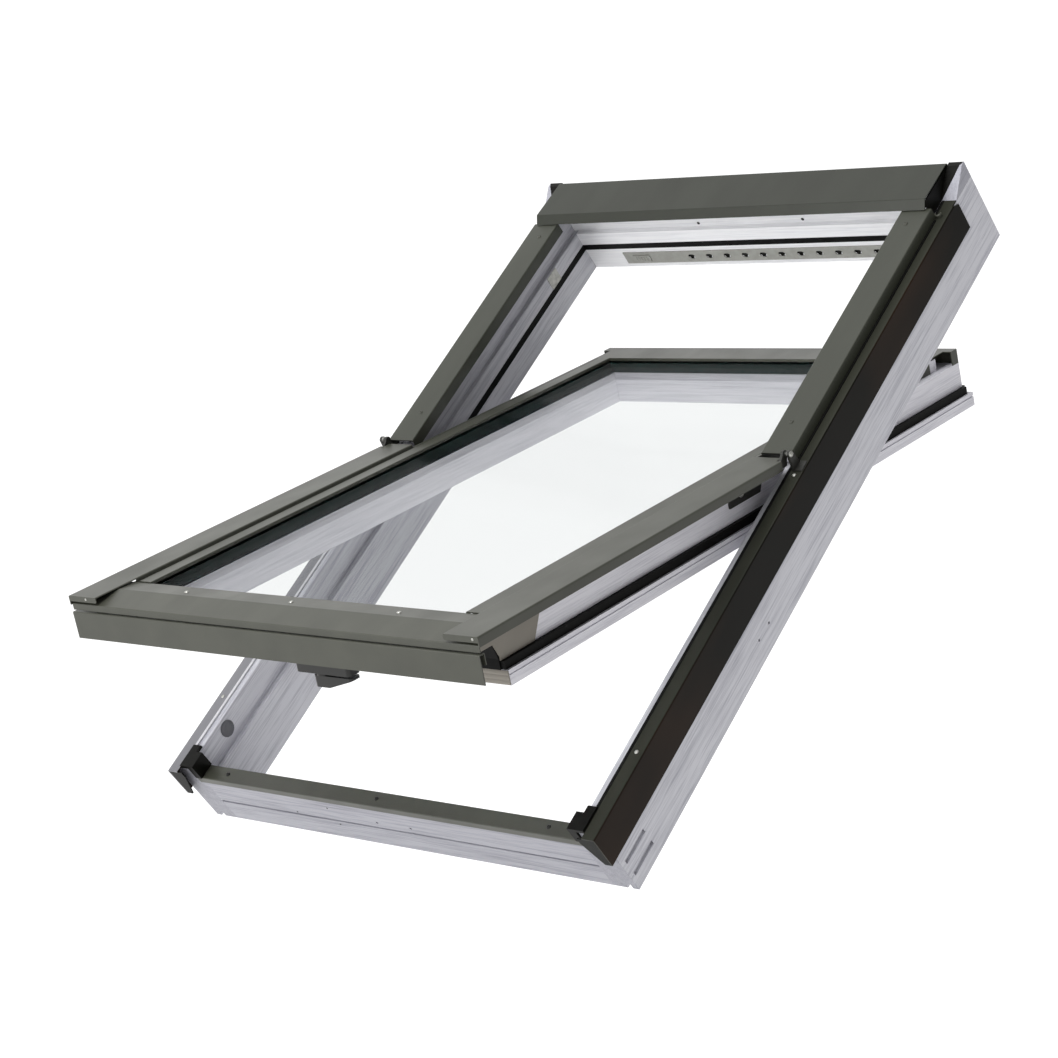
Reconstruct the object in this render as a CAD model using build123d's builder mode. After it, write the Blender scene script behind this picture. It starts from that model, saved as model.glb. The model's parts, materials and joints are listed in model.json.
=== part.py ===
# Centre pivot roof window with a timber frame and sash, aluminium outside covers and a double pane.
# X runs across the window, Y towards the ridge and Z up; the origin is the middle of the sill's
# room-side face. Sections are drawn in the window's own plane: across, up the slope and out of the
# roof. The sash has such a plane of its own, whose origin lies on the pivot axis.
import os
from math import cos, radians, sin

from build123d import *

os.makedirs("parts", exist_ok=True)

# Roof and sash angles, degrees
roof_pitch = 45
opening = 28

# Frame outline and pivot, mm
frame_width = 780
frame_height = 1180
pivot_up = 608
pivot_out = 142

# Frame timber
jamb_back = 42
jamb_front = 33
rebate_out = 74
timber_out = 116
sill_thick = 30
sill_top_thick = 22
sill_out = 93.5
head_back = 48
head_front = 39
arris = 1.5
groove_out = 39
groove_width = 11
groove_depth = 5
key_slot_low = 8
key_slot_length = 50
key_slot_width = 7
key_slot_depth = 4
key_slot_out = 22
key_slot_spacing = 24
lining_groove = 8
lining_inset = 14
drip_groove_out = 40
drip_groove_width = 4
drip_groove_depth = 2

# Aluminium sheet and its folds
sheet = 1.5
fold = 2.2

# Side flashing profile on the outer face of each jamb, and the weather strip beside it
profile_back_out = 66
profile_strip = 20
profile_stand_off = 2
profile_low = -12
profile_short = 54
profile_chamfer = 14
weather_strip_width = 5
weather_strip_height = 2.5
profile_end_thick = 2
profile_end_gap = 0.3
profile_end_slant = 8
profile_end_step = 10

# Fixed covers over the upper half
cover_seat = 2
cover_width = 50
cover_out = 136
cover_pivot_gap = 6

# Hood over the head
hood_inset = 5
hood_depth = 78
hood_fold_out = 149
hood_back_out = 146.5
hood_lip = 11
hood_lap = 4
hood_cap_thick = 2
hood_cap_notch = 2
hood_side_gap = 7
corner_block_out = 143
corner_block_flat = 8

# Cover on the sill and the black pieces at its ends
sill_cover_lap = 11
end_piece_gap = 1
end_piece_step = 12
end_piece_up = 36
end_piece_step_up = 24
end_piece_rise = 5
end_piece_over = 3

# Air inlet on the head, bolt sockets and latch plates on the jambs
inlet_end_gap = 73
inlet_low_out = 8
inlet_width = 23
inlet_thick = 1.5
inlet_slot_pitch = 35
inlet_slot_length = 13
inlet_slot_width = 9
inlet_slots_from = 53
slider_inset = 18
slider_length = 34
slider_width = 12
slider_thick = 2
socket_radius = 12.5
socket_hole_radius = 4
socket_thick = 1
socket_depth = 12
socket_up = 84
socket_inset = 18
latch_plate_below_head = 104
latch_plate_length = 27
latch_plate_thick = 1

# Bracket screw holes: mounting screws enter the outer faces here
bracket_screw_radius = 2
bracket_screw_depth = 20
bracket_screw_up = 380
bracket_screw_spacing = 30
bracket_screw_out = 30
sill_screw_spacing = 62
sill_screw_out = 52

# Room between the closed sash and the frame
side_gap = 6
head_gap = 11
sill_gap = 10
lip_gap = 11
nose_gap = 3
cover_gap = 7
return_gap = 5

# Sash timber
stile_width = 42
top_rail_width = 49
back_width = 22
bottom_back_width = 34
splay_start = 12
lip_width = 11
lip_rise = 9
lip_thick = 20
nose_over = 22
nose_step = 8
nose_step_out = 19
nose_top_drop = 4
nose_top_length = 18
lip_groove_down = 6
lip_groove = 2

# Glass unit
pane = 4
spacer_height = 16
spacer_width = 20
glass_lap = 16
glass_top_lap = 11
glass_bottom_over = 10
glass_edge_gap = 1.5

# Sash covers
sash_cover_proud = 0.3
sash_cover_inset = 1
under_cover_from = -1
lug_notch = 13
bead_drop = 3.7
bead_height = 4.6
bead_overhang = 1
bead_width = 24
bead_gap = 5
top_cover_lap = 18
top_cover_wide = 16
bottom_cover_lap = 14
bottom_cover_ridge_from = 33
bottom_cover_ridge_rise = 1
bottom_cover_inner_drop = 1.5
bottom_cover_front_out = -17.5
bottom_cover_lip = 9
cover_end_depth = 8
cover_end_gap = 1.5
skirt_over = 10
skirt_set_back = 3
skirt_gap = 2
skirt_depth = 38
skirt_side_gap = 1
side_plate_length = 145
side_plate_slant = 19
side_plate_edge_out = -20
side_plate_slant_out = -36
side_plate_gap = 0.5
side_plate_thick = 2

# Sash seal on the lip
sash_seal_width = 7
sash_seal_height = 11
nose_seal_thick = 2

# Pivot: ear and pin on the frame, plate with a bored lug on the sash
pin_radius = 3
pin_clearance = 0.05
ear_gap = 1.5
ear_thick = 4
ear_radius = 5
ear_foot_half = 9
ear_foot_height = 2
lug_gap = 1.5
lug_thick = 4
lug_radius = 5
web_length = 18
web_thick = 3
hinge_plate_down = -89
hinge_plate_up = -2
hinge_plate_back = -48
hinge_plate_slant = 18
hinge_plate_thick = 3

# Handle under the bottom rail
handle_base_half = 49
handle_base_shift = 7
handle_base_width = 22
handle_base_thick = 19
handle_boss_radius = 11
handle_boss_height = 3
handle_gap = 0.3
lever_length = 71
lever_width = 18
lever_depth = 16
lever_tail = 14
lever_grip = 24
lever_tip = 3
lever_slant = 3
spindle_radius = 4
spindle_clearance = 0.05

# Worked-out places on the frame, across from its middle and up from the sill's outer edge
half_width = frame_width / 2
jamb_inner = half_width - jamb_back
rebate_inner = half_width - jamb_front
head_inner_up = frame_height - head_back
head_front_up = frame_height - head_front
profile_out = timber_out + profile_stand_off
profile_face = half_width + profile_stand_off
profile_top = frame_height - profile_short
strip_inner = profile_face - profile_strip
cover_outer = strip_inner + cover_seat
cover_inner = cover_outer - cover_width
cover_low = pivot_up + cover_pivot_gap
hood_half = strip_inner - hood_side_gap
hood_back_up = frame_height - hood_inset
hood_fold_up = hood_back_up - hood_depth
hood_lip_up = hood_fold_up - hood_lip
hood_lip_out = cover_out + sheet
cover_top = hood_lip_up + hood_lap
sill_cover_out = sill_out + sheet
end_piece_outer = strip_inner - end_piece_gap
end_piece_inner = rebate_inner - end_piece_step
inlet_half = jamb_inner - inlet_end_gap
slider_side = inlet_half - slider_inset - slider_length / 2
inlet_slots_start = inlet_slots_from + slider_length / 2 - slider_side
inlet_slots = int((inlet_half - inlet_slots_start) / inlet_slot_pitch)
latch_plate_up = head_inner_up - latch_plate_below_head
socket_out = timber_out - socket_inset

# Worked-out places on the sash, up and out from the pivot axis
lip_outer = jamb_inner - side_gap
stile_outer = lip_outer - lip_width
stile_inner = stile_outer - stile_width
lip_up = head_inner_up - head_gap - pivot_up
lip_down = sill_thick + sill_gap - pivot_up
lip_top = rebate_out - lip_gap - pivot_out
lip_back = lip_top - lip_thick
sash_top = lip_up - lip_rise
top_rail_inner = sash_top - top_rail_width
bottom_rail_inner = lip_down + stile_width
nose_down = -pivot_up - nose_over
nose_back = sill_cover_out + nose_gap - pivot_out
nose_slope_down = lip_down - nose_step
nose_slope_back = nose_back - nose_step_out
sash_cover_out = cover_out + sash_cover_proud - pivot_out
sash_cover_outer = cover_outer - sash_cover_inset
sash_cover_return = sash_cover_out + pivot_out - profile_out - return_gap
bead_out = sash_cover_out - bead_drop
stile_top = bead_out - bead_height
stile_top_under_cover = profile_out - cover_gap - pivot_out
spacer_out = stile_top - pane
inner_pane_out = spacer_out - spacer_height
glass_seat = inner_pane_out - pane
splay_from = glass_seat - splay_start
glass_edge = stile_inner + glass_lap
glass_rebate = glass_edge + glass_edge_gap
glass_top = top_rail_inner + glass_top_lap
glass_bottom = lip_down - glass_bottom_over
bead_inner = stile_inner - bead_overhang
bead_outer = bead_inner + bead_width
sash_cover_inner = bead_outer + bead_gap
edge_cover_inner = sash_cover_inner - sheet
top_cover_inner = glass_top - top_cover_lap
top_cover_wide_from = sash_top - top_cover_wide
bottom_cover_inner = glass_bottom + bottom_cover_lap
bottom_cover_ridge = bottom_cover_inner - bottom_cover_ridge_from
bottom_cover_lip_end = bottom_cover_front_out - bottom_cover_lip
skirt_front = nose_down - skirt_over
skirt_top = bottom_cover_lip_end - skirt_gap
skirt_back = skirt_top - skirt_depth
skirt_half = sash_cover_outer - sheet - skirt_side_gap
bottom_cover_front = skirt_front + skirt_set_back
sash_cover_down = bottom_cover_front - cover_end_gap
nose_top = stile_top - nose_top_drop
side_plate_up = nose_down + side_plate_length
side_plate_slant_up = side_plate_up - side_plate_slant
side_plate_back = lip_top + sash_seal_height + side_plate_gap
lug_outer = sash_cover_outer - sheet - lug_gap
lug_inner = lug_outer - lug_thick
lug_bore = pin_radius + pin_clearance
ear_inner = cover_outer + ear_gap
handle_down = lip_down + bottom_back_width / 2
base_out = lip_back - handle_base_thick
boss_out = base_out - handle_boss_height
lever_out = boss_out - handle_gap
lever_bottom = lever_out - lever_depth

slope = (0, cos(radians(roof_pitch)), sin(radians(roof_pitch)))
outward = (0, -sin(radians(roof_pitch)), cos(radians(roof_pitch)))
sash_outward = (0, -sin(radians(roof_pitch - opening)), cos(radians(roof_pitch - opening)))
window = Plane(origin=Vector(*slope) * (-sill_thick / 2), x_dir=(1, 0, 0), z_dir=outward)
sash = Plane(
    origin=window.from_local_coords((0, pivot_up, pivot_out)),
    x_dir=(1, 0, 0),
    z_dir=sash_outward,
)


def across(base, up):
    """Section plane across the window: x across, y outwards, extruded down the slope."""
    return Plane(origin=base.from_local_coords((0, up, 0)), x_dir=base.x_dir, z_dir=-base.y_dir)


def along(base, side):
    """Section plane along the slope: x up the slope, y outwards, extruded to the right."""
    return Plane(origin=base.from_local_coords((side, 0, 0)), x_dir=base.y_dir, z_dir=base.x_dir)


def bar(plane, outline, length):
    """Straight bar with the given outline."""
    with BuildPart() as straight:
        with BuildSketch(plane):
            with BuildLine():
                Polyline(*outline, close=True)
            make_face()
        extrude(amount=length)
    return straight


def folded_sheet(plane, path, length, side=Side.LEFT, radius=fold):
    """Folded sheet whose outer face follows the path."""
    with BuildPart() as strip:
        with BuildSketch(plane):
            with BuildLine():
                FilletPolyline(*path, radius=radius)
                offset(amount=sheet, side=side)
            make_face()
        extrude(amount=length)
    return strip


def save(name, piece):
    """Write one piece under its own name."""
    piece.part.label = name
    export_step(piece.part, f"parts/{name}.step")


def save_pair(name, right):
    """Write the right-hand piece and its mirror image on the left."""
    save(f"right_{name}", right)
    with BuildPart() as left:
        mirror(right.part, about=Plane.YZ)
    save(f"left_{name}", left)


# Frame timber: jambs, sill and head
jamb_outline = [
    (half_width, 0),
    (half_width, timber_out),
    (rebate_inner, timber_out),
    (rebate_inner, rebate_out),
    (jamb_inner, rebate_out),
    (jamb_inner, 0),
]
with BuildPart() as jamb:
    with BuildSketch(across(window, frame_height)) as jamb_section:
        with BuildLine():
            Polyline(*jamb_outline, close=True)
        make_face()
        rounded = jamb_section.vertices().sort_by(Axis.X)[:2] + jamb_section.vertices().sort_by(Axis.Y)[-2:]
        fillet(rounded, arris)
    extrude(amount=frame_height)
    with BuildSketch(across(window, head_inner_up)):
        with Locations((jamb_inner + groove_depth / 2, groove_out + groove_width / 2)):
            Rectangle(groove_depth, groove_width)
    extrude(amount=head_inner_up - pivot_up, mode=Mode.SUBTRACT)
    with BuildSketch(across(window, frame_height)):
        with Locations((half_width - lining_inset, lining_groove / 2)):
            Rectangle(lining_groove, lining_groove)
    extrude(amount=frame_height, mode=Mode.SUBTRACT)
    with BuildSketch(along(window, half_width)):
        with Locations(
            (bracket_screw_up, bracket_screw_out),
            (bracket_screw_up + bracket_screw_spacing, bracket_screw_out),
        ):
            Circle(bracket_screw_radius)
    extrude(amount=-bracket_screw_depth, mode=Mode.SUBTRACT)
    with BuildSketch(along(window, half_width)):
        with Locations(
            (key_slot_low + key_slot_length / 2, key_slot_out),
            (key_slot_low + key_slot_length / 2, key_slot_out + key_slot_spacing),
        ):
            Rectangle(key_slot_length, key_slot_width)
    extrude(amount=-key_slot_depth, mode=Mode.SUBTRACT)
    with BuildSketch(along(window, rebate_inner)):
        with Locations((socket_up, socket_out)):
            Circle(socket_radius)
    extrude(amount=socket_depth, mode=Mode.SUBTRACT)
save_pair("jamb", jamb)

with BuildPart() as sill:
    with BuildSketch(along(window, -jamb_inner)):
        with Locations((sill_thick / 2, rebate_out / 2)):
            Rectangle(sill_thick, rebate_out)
    extrude(amount=2 * jamb_inner)
    with BuildSketch(along(window, -rebate_inner)):
        with Locations((sill_top_thick / 2, (rebate_out + sill_out) / 2)):
            Rectangle(sill_top_thick, sill_out - rebate_out)
    extrude(amount=2 * rebate_inner)
    with BuildSketch(along(window, -jamb_inner)):
        with Locations((drip_groove_depth / 2, drip_groove_out)):
            Rectangle(drip_groove_depth, drip_groove_width)
    extrude(amount=2 * jamb_inner, mode=Mode.SUBTRACT)
    with BuildSketch(across(window, 0)):
        with Locations((-sill_screw_spacing / 2, sill_screw_out), (sill_screw_spacing / 2, sill_screw_out)):
            Circle(bracket_screw_radius)
    extrude(amount=-bracket_screw_depth, mode=Mode.SUBTRACT)
save("sill", sill)

with BuildPart() as head:
    with BuildSketch(along(window, -jamb_inner)):
        with Locations((frame_height - head_back / 2, rebate_out / 2)):
            Rectangle(head_back, rebate_out)
    extrude(amount=2 * jamb_inner)
    with BuildSketch(along(window, -rebate_inner)):
        with Locations((frame_height - head_front / 2, (rebate_out + timber_out) / 2)):
            Rectangle(head_front, timber_out - rebate_out)
    extrude(amount=2 * rebate_inner)
    with BuildSketch(along(window, -jamb_inner)):
        with Locations(
            (head_inner_up + groove_depth / 2, groove_out + groove_width / 2),
            (frame_height - lining_inset, lining_groove / 2),
        ):
            Rectangle(groove_depth, groove_width)
    extrude(amount=2 * jamb_inner, mode=Mode.SUBTRACT)
save("head", head)

# Black seal in the grooves of the upper half
with BuildPart() as side_seal:
    with BuildSketch(across(window, head_inner_up)):
        with Locations((jamb_inner + groove_depth / 2, groove_out + groove_width / 2)):
            Rectangle(groove_depth, groove_width)
    extrude(amount=head_inner_up - pivot_up)
save_pair("frame_seal", side_seal)
with BuildPart() as head_seal:
    with BuildSketch(along(window, -jamb_inner)):
        with Locations((head_inner_up + groove_depth / 2, groove_out + groove_width / 2)):
            Rectangle(groove_depth, groove_width)
    extrude(amount=2 * jamb_inner)
save("head_seal", head_seal)

# Side flashing profiles with their weather strip
with BuildPart() as side_profile:
    with BuildSketch(across(window, profile_top)):
        with BuildLine():
            FilletPolyline(
                (profile_face, profile_back_out),
                (profile_face, profile_out),
                (strip_inner, profile_out),
                radius=fold,
            )
            offset(amount=profile_stand_off, side=Side.LEFT)
        make_face()
    extrude(amount=profile_top - profile_low)
    with BuildSketch(along(window, half_width)):
        with BuildLine():
            Polyline(
                (profile_top, profile_out),
                (profile_top, profile_out - profile_chamfer / 2),
                (profile_top - profile_chamfer, profile_out),
                close=True,
            )
        make_face()
    extrude(amount=profile_stand_off, mode=Mode.SUBTRACT)
save_pair("flashing_profile", side_profile)
with BuildPart() as weather_strip:
    with BuildSketch(across(window, profile_top)):
        with Locations((strip_inner - weather_strip_width / 2, timber_out + weather_strip_height / 2)):
            RectangleRounded(weather_strip_width, weather_strip_height, weather_strip_height / 3)
    extrude(amount=profile_top - end_piece_up)
save_pair("weather_strip", weather_strip)
profile_end = bar(
    across(window, profile_low + profile_end_thick),
    [
        (half_width - profile_end_gap, timber_out),
        (half_width - profile_end_gap, profile_back_out),
        (strip_inner + profile_end_slant, profile_back_out),
        (strip_inner - profile_end_slant, timber_out - profile_end_step),
        (strip_inner - profile_end_slant, timber_out),
    ],
    profile_end_thick,
)
save_pair("profile_end", profile_end)

# Fixed covers over the upper half of the jambs
side_cover = folded_sheet(
    across(window, cover_top),
    [
        (cover_outer, profile_out),
        (cover_outer, cover_out),
        (cover_inner, cover_out),
        (cover_inner, profile_out),
    ],
    cover_top - cover_low,
)
save_pair("upper_cover", side_cover)

# Hood over the head, its end caps and the corner blocks that rise beside them from the side profiles
hood = folded_sheet(
    along(window, -hood_half),
    [
        (hood_lip_up, hood_lip_out),
        (hood_fold_up, hood_fold_out),
        (hood_back_up, hood_back_out),
        (hood_back_up, timber_out),
    ],
    2 * hood_half,
    side=Side.RIGHT,
)
save("hood", hood)
corner_outline = [
    (profile_top, timber_out),
    (frame_height, timber_out),
    (frame_height, corner_block_out),
    (frame_height - corner_block_flat, corner_block_out),
]
hood_cap_outline = [
    (cover_top + hood_cap_notch, timber_out),
    (hood_back_up - sheet, timber_out),
    (hood_back_up - sheet, hood_back_out - sheet - fold),
    (hood_fold_up + fold, hood_fold_out - sheet - fold),
    (cover_top + hood_cap_notch, hood_lip_out),
]
corner = bar(along(window, hood_half), corner_outline, half_width - hood_half)
with BuildPart() as corner_block:
    with BuildSketch(window.offset(timber_out)):
        with BuildLine():
            Polyline(
                (hood_half, profile_top),
                (half_width, profile_top),
                (half_width, frame_height),
                close=True,
            )
        make_face()
    extrude(amount=corner_block_out - timber_out)
    add(corner.part, mode=Mode.INTERSECT)
save_pair("corner_block", corner_block)
with BuildPart() as hood_cap:
    add(corner.part)
    add(corner_block.part, mode=Mode.SUBTRACT)
    add(bar(along(window, hood_half - hood_cap_thick), hood_cap_outline, hood_cap_thick).part)
save_pair("hood_cap", hood_cap)

# Sill cover with the black end pieces
sill_cover = folded_sheet(
    along(window, -rebate_inner),
    [
        (-sheet, sill_cover_out - sill_cover_lap),
        (-sheet, sill_cover_out),
        (sill_top_thick, sill_cover_out),
    ],
    2 * rebate_inner,
    side=Side.RIGHT,
    radius=sheet,
)
save("sill_cover", sill_cover)
with BuildPart() as end_piece:
    with BuildSketch(window.offset(timber_out)):
        with Locations(((rebate_inner + end_piece_outer) / 2, (end_piece_up - end_piece_over) / 2)):
            Rectangle(end_piece_outer - rebate_inner, end_piece_up + end_piece_over)
    extrude(amount=end_piece_rise)
    with BuildSketch(window.offset(sill_cover_out)):
        with Locations(((end_piece_inner + rebate_inner) / 2, (end_piece_step_up - end_piece_over) / 2)):
            Rectangle(rebate_inner - end_piece_inner, end_piece_step_up + end_piece_over)
    extrude(amount=timber_out + end_piece_rise - sill_cover_out)
    chamfer(end_piece.edges().filter_by(Axis.X).group_by(Axis.Z)[-1], arris)
save_pair("sill_end_piece", end_piece)

# Air inlet under the head
with BuildPart() as inlet:
    with BuildSketch(across(window, head_inner_up)):
        with Locations((0, inlet_low_out + inlet_width / 2)):
            Rectangle(2 * inlet_half, inlet_width)
        with Locations(((inlet_slots_start + inlet_half) / 2, inlet_low_out + inlet_width / 2)):
            with GridLocations(inlet_slot_pitch, 0, inlet_slots, 1):
                SlotOverall(inlet_slot_length, inlet_slot_width, mode=Mode.SUBTRACT)
    extrude(amount=inlet_thick)
save("air_inlet", inlet)
with BuildPart() as slider:
    with BuildSketch(across(window, head_inner_up - inlet_thick)):
        with Locations((-slider_side, inlet_low_out + inlet_width / 2)):
            Rectangle(slider_length, slider_width)
    extrude(amount=slider_thick)
save("inlet_slider", slider)

# Bolt sockets and latch plates on the jambs
with BuildPart() as socket:
    with BuildSketch(along(window, rebate_inner - socket_thick)):
        with Locations((socket_up, socket_out)):
            Circle(socket_radius)
            Circle(socket_hole_radius, mode=Mode.SUBTRACT)
    extrude(amount=socket_depth + socket_thick)
save_pair("bolt_socket", socket)
latch_plate = bar(
    along(window, jamb_inner - latch_plate_thick),
    [
        (latch_plate_up, groove_out + groove_width),
        (latch_plate_up + latch_plate_length, groove_out + groove_width),
        (latch_plate_up + latch_plate_length, rebate_out - arris),
        (latch_plate_up, rebate_out - arris),
    ],
    latch_plate_thick,
)
save_pair("latch_plate", latch_plate)

# Sash stiles
stile_outline = [
    (stile_inner, glass_seat),
    (glass_rebate, glass_seat),
    (glass_rebate, stile_top),
    (stile_outer, stile_top),
    (stile_outer, lip_top),
    (lip_outer, lip_top),
    (lip_outer, lip_back),
    (lip_outer - back_width, lip_back),
    (stile_inner, splay_from),
]
nose_cut = [
    (nose_down, nose_back),
    (nose_slope_down, nose_back),
    (lip_down, nose_slope_back),
    (lip_down, lip_back),
    (nose_down, lip_back),
]
with BuildPart() as stile:
    with BuildSketch(across(sash, lip_up)):
        with BuildLine():
            Polyline(*stile_outline, close=True)
        make_face()
    extrude(amount=lip_up - nose_down)
    with BuildSketch(along(sash, 0)):
        with BuildLine():
            Polyline(*nose_cut, close=True)
        make_face()
    extrude(amount=lip_outer, mode=Mode.SUBTRACT)
    with BuildSketch(along(sash, 0)):
        with BuildLine():
            Polyline(
                (nose_down, nose_top),
                (nose_down + nose_top_length, stile_top),
                (nose_down, stile_top),
                close=True,
            )
        make_face()
    extrude(amount=lip_outer, mode=Mode.SUBTRACT)
    with BuildSketch(across(sash, lip_up)):
        with Locations((lip_outer - lip_groove / 2, lip_top - lip_groove_down)):
            Rectangle(lip_groove, lip_groove)
    extrude(amount=lip_up - lip_down, mode=Mode.SUBTRACT)
    with BuildSketch(across(sash, lip_up)):
        with Locations(((edge_cover_inner + stile_outer) / 2, (stile_top + stile_top_under_cover) / 2)):
            Rectangle(stile_outer - edge_cover_inner, stile_top - stile_top_under_cover)
    extrude(amount=lip_up - under_cover_from, mode=Mode.SUBTRACT)
    with BuildSketch(across(sash, lip_up)):
        with Locations((lip_outer / 2, (stile_top + stile_top_under_cover) / 2)):
            Rectangle(lip_outer, stile_top - stile_top_under_cover)
    extrude(amount=lip_up - glass_top - glass_edge_gap, mode=Mode.SUBTRACT)
    with BuildSketch(across(sash, lip_up)):
        with Locations((lip_outer / 2, (stile_top + lip_top) / 2)):
            Rectangle(lip_outer, stile_top - lip_top)
    extrude(amount=lip_up - sash_top, mode=Mode.SUBTRACT)
save_pair("stile", stile)

# Sash rails, cut to the stiles at their ends
top_rail_outline = [
    (top_rail_inner, glass_seat),
    (glass_top + glass_edge_gap, glass_seat),
    (glass_top + glass_edge_gap, stile_top_under_cover),
    (sash_top, stile_top_under_cover),
    (sash_top, lip_top),
    (lip_up, lip_top),
    (lip_up, lip_back),
    (lip_up - back_width, lip_back),
    (top_rail_inner, splay_from),
]
bottom_rail_outline = [
    (nose_down, nose_top),
    (nose_down + nose_top_length, stile_top),
    (glass_bottom - glass_edge_gap, stile_top),
    (glass_bottom - glass_edge_gap, glass_seat),
    (bottom_rail_inner, glass_seat),
    (bottom_rail_inner, splay_from),
    (lip_down + bottom_back_width, lip_back),
    (lip_down, lip_back),
    (lip_down, nose_slope_back),
    (nose_slope_down, nose_back),
    (nose_down, nose_back),
]
with BuildPart() as top_rail:
    with BuildSketch(along(sash, -lip_outer + back_width)):
        with BuildLine():
            Polyline(*top_rail_outline, close=True)
        make_face()
    extrude(amount=2 * (lip_outer - back_width))
    add(stile.part, mode=Mode.SUBTRACT)
    add(mirror(stile.part, about=Plane.YZ, mode=Mode.PRIVATE), mode=Mode.SUBTRACT)
save("top_rail", top_rail)
with BuildPart() as bottom_rail:
    with BuildSketch(along(sash, -lip_outer + back_width)):
        with BuildLine():
            Polyline(*bottom_rail_outline, close=True)
        make_face()
    extrude(amount=2 * (lip_outer - back_width))
    add(stile.part, mode=Mode.SUBTRACT)
    add(mirror(stile.part, about=Plane.YZ, mode=Mode.PRIVATE), mode=Mode.SUBTRACT)
save("bottom_rail", bottom_rail)

# Seals on the lip of the stiles and of the top rail
with BuildPart() as sash_seal:
    with BuildSketch(across(sash, sash_top)):
        with Locations((stile_outer + sash_seal_width / 2, lip_top + sash_seal_height / 2)):
            Rectangle(sash_seal_width, sash_seal_height)
    extrude(amount=sash_top - lip_down)
save_pair("sash_seal", sash_seal)
with BuildPart() as top_seal:
    with BuildSketch(along(sash, -stile_outer)):
        with Locations((sash_top + sash_seal_width / 2, lip_top + sash_seal_height / 2)):
            Rectangle(sash_seal_width, sash_seal_height)
    extrude(amount=2 * stile_outer)
save("top_seal", top_seal)

nose_seal = bar(
    along(sash, -stile_outer),
    [
        (nose_slope_down, nose_back),
        (nose_slope_down, nose_back - nose_seal_thick),
        (lip_down - nose_seal_thick, nose_slope_back - nose_seal_thick),
        (lip_down - nose_seal_thick, lip_top),
        (lip_down, lip_top),
        (lip_down, nose_slope_back),
    ],
    2 * stile_outer,
)
save("nose_seal", nose_seal)

# Glass unit
glass_height = glass_top - glass_bottom
glass_middle = (glass_top + glass_bottom) / 2
with BuildPart() as outer_pane:
    with BuildSketch(sash.offset(spacer_out)):
        with Locations((0, glass_middle)):
            Rectangle(2 * glass_edge, glass_height)
    extrude(amount=pane)
save("outer_pane", outer_pane)
with BuildPart() as inner_pane:
    with BuildSketch(sash.offset(glass_seat)):
        with Locations((0, glass_middle)):
            Rectangle(2 * glass_edge, glass_height)
    extrude(amount=inner_pane_out - glass_seat)
save("inner_pane", inner_pane)
with BuildPart() as spacer:
    with BuildSketch(sash.offset(inner_pane_out)):
        with Locations((0, glass_middle)):
            Rectangle(2 * glass_edge, glass_height)
            Rectangle(
                2 * (glass_edge - spacer_width),
                glass_height - 2 * spacer_width,
                mode=Mode.SUBTRACT,
            )
    extrude(amount=spacer_height)
save("pane_spacer", spacer)

# Glazing beads and the covers beside them
bead = folded_sheet(
    across(sash, top_cover_inner),
    [
        (bead_outer, stile_top),
        (bead_outer, bead_out),
        (bead_inner, bead_out),
        (bead_inner, stile_top),
    ],
    top_cover_inner - bottom_cover_inner,
    radius=sheet,
)
save_pair("glazing_bead", bead)
with BuildPart() as edge_cover:
    with BuildSketch(across(sash, top_cover_inner)):
        with BuildLine():
            Polyline(
                (bead_outer, stile_top),
                (bead_outer, bead_out),
                (sash_cover_inner, bead_out),
                (sash_cover_inner, stile_top_under_cover),
                (edge_cover_inner, stile_top_under_cover),
                (edge_cover_inner, stile_top),
                close=True,
            )
        make_face()
    extrude(amount=top_cover_inner - under_cover_from)
save_pair("edge_cover", edge_cover)
with BuildPart() as lower_cover:
    with BuildSketch(across(sash, under_cover_from)):
        with BuildLine():
            FilletPolyline(
                (sash_cover_outer, sash_cover_out - sash_cover_return),
                (sash_cover_outer, sash_cover_out),
                (sash_cover_inner, sash_cover_out),
                (sash_cover_inner, stile_top),
                radius=fold,
            )
            offset(amount=sheet, side=Side.LEFT)
        make_face()
    extrude(amount=under_cover_from - sash_cover_down)
    with BuildSketch(sash.offset(sash_cover_out)):
        with Locations(((lug_inner - sheet + sash_cover_outer) / 2, under_cover_from - lug_notch / 2)):
            Rectangle(sash_cover_outer - lug_inner + sheet, lug_notch)
    extrude(amount=-sash_cover_return, mode=Mode.SUBTRACT)
    with BuildSketch(sash.offset(sash_cover_out - sheet)):
        with Locations((sash_cover_inner + sheet, (bottom_cover_inner + sash_cover_down) / 2)):
            Rectangle(4 * sheet, bottom_cover_inner - sash_cover_down)
    extrude(amount=-sash_cover_return, mode=Mode.SUBTRACT)
    with BuildSketch(across(sash, sash_cover_down + sheet)):
        with Locations(((sash_cover_inner + sash_cover_outer) / 2, sash_cover_out - cover_end_depth / 2)):
            RectangleRounded(sash_cover_outer - sash_cover_inner, cover_end_depth, fold)
    extrude(amount=sheet)
save_pair("lower_cover", lower_cover)

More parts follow.
